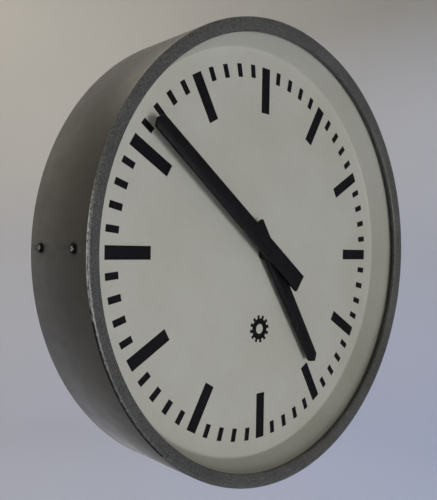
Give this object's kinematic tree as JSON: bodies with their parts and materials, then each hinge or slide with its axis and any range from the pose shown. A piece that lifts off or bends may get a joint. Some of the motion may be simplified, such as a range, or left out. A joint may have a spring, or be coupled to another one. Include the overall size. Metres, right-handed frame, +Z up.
{
  "type": "wall clock",
  "caption": "Round secondary wall clock: deep drum case, glazed front ring, dished baton dial, two folded hands and a stepping movement driven by impulses.",
  "frame": {"origin": "centre of the back pan's rear face, on the wall", "axes": "+Z up to 12 o'clock, +X to 3 o'clock, the dial faces -Y and +Y points into the wall"},
  "size_m": [0.4236, 0.0825, 0.42],
  "materials": {
    "drum_enamel": "dark warm-grey hammer enamel, semi-gloss",
    "ring_enamel": "grey hammer enamel with a fine orange-peel grain, semi-gloss",
    "pan_paint": "grey paint, matt",
    "dial_enamel": "cream-white enamel, matt, with black printed marks",
    "hand_enamel": "black enamel, satin",
    "window_glass": "clear, polished",
    "black_rubber": "matt",
    "zinc_steel": "zinc plated",
    "dark_screw": "painted over, worn bright in the middle",
    "brass": "fine turned",
    "soft_iron": "ground laminations",
    "magnet": "sintered, matt",
    "bakelite": "moulded",
    "coil_wire": "varnished winding",
    "lead": "PVC insulation"
  },
  "bodies": {
    "case": {"case_drum": "drum_enamel", "front_ring": "ring_enamel", "back_pan": "pan_paint", "dial": "dial_enamel", "glass": "window_glass", "glass_gasket": "black_rubber", "cable_grommet": "black_rubber", "glass_clip_1": "zinc_steel", "glass_clip_2": "zinc_steel", "glass_clip_3": "zinc_steel", "glass_clip_4": "zinc_steel", "hanger_plate": "zinc_steel", "hanger_rivet_left": "zinc_steel", "hanger_rivet_right": "zinc_steel", "side_screw_front_left": "dark_screw", "side_screw_front_right": "dark_screw", "side_screw_rear_left": "dark_screw", "side_screw_rear_right": "dark_screw", "side_nut_front_left": "zinc_steel", "side_nut_front_right": "zinc_steel", "side_nut_rear_left": "zinc_steel", "side_nut_rear_right": "zinc_steel", "cross_rail": "zinc_steel", "movement_screw_left": "zinc_steel", "movement_screw_right": "zinc_steel", "rear_plate": "brass", "front_plate": "brass", "pillar_1": "brass", "pillar_2": "brass", "pillar_3": "brass", "pillar_4": "brass", "plate_screw_1": "zinc_steel", "plate_screw_2": "zinc_steel", "plate_screw_3": "zinc_steel", "plate_screw_4": "zinc_steel", "pole_limb_left": "soft_iron", "pole_limb_right": "soft_iron", "core_bar": "soft_iron", "coil_bobbin": "bakelite", "coil_winding": "coil_wire", "terminal_block": "bakelite", "terminal_screw_left": "brass", "terminal_screw_right": "brass", "lead_wire_left": "lead", "lead_wire_right": "lead", "minute_wheel_stud": "zinc_steel"},
    "minute_group": {"centre_arbor": "zinc_steel", "centre_wheel": "brass", "cannon_pinion": "zinc_steel", "minute_hand_bush": "brass", "minute_hand": "hand_enamel"},
    "hour_group": {"hour_wheel": "brass", "hour_hand_bush": "brass", "hour_hand": "hand_enamel"},
    "motion_wheel": {"minute_wheel": "brass"},
    "intermediate_group": {"intermediate_wheel": "brass", "intermediate_arbor": "zinc_steel"},
    "rotor_group": {"rotor_magnet": "magnet", "rotor_arbor": "zinc_steel"}
  },
  "joints": [
    {"name": "minute_hand_turn", "type": "hinge", "parent": "case", "child": "minute_group", "pos_m": [0, 0, 0], "axis": [0, 1, 0], "continuous": true},
    {"name": "hour_hand_turn", "type": "hinge", "parent": "case", "child": "hour_group", "pos_m": [0, 0, 0], "axis": [0, 1, 0], "continuous": true},
    {"name": "motion_wheel_turn", "type": "hinge", "parent": "case", "child": "motion_wheel", "pos_m": [0.0144, 0, 0], "axis": [0, 1, 0], "continuous": true},
    {"name": "intermediate_turn", "type": "hinge", "parent": "case", "child": "intermediate_group", "pos_m": [0, 0, 0.021], "axis": [0, 1, 0], "continuous": true},
    {"name": "rotor_turn", "type": "hinge", "parent": "case", "child": "rotor_group", "pos_m": [0, 0, 0.039], "axis": [0, 1, 0], "continuous": true}
  ],
  "couplings": [
    {"joint": "hour_hand_turn", "follows": "minute_hand_turn", "ratio": 0.083333},
    {"joint": "motion_wheel_turn", "follows": "minute_hand_turn", "ratio": -0.33333},
    {"joint": "intermediate_turn", "follows": "minute_hand_turn", "ratio": -6},
    {"joint": "rotor_turn", "follows": "minute_hand_turn", "ratio": 30}
  ]
}
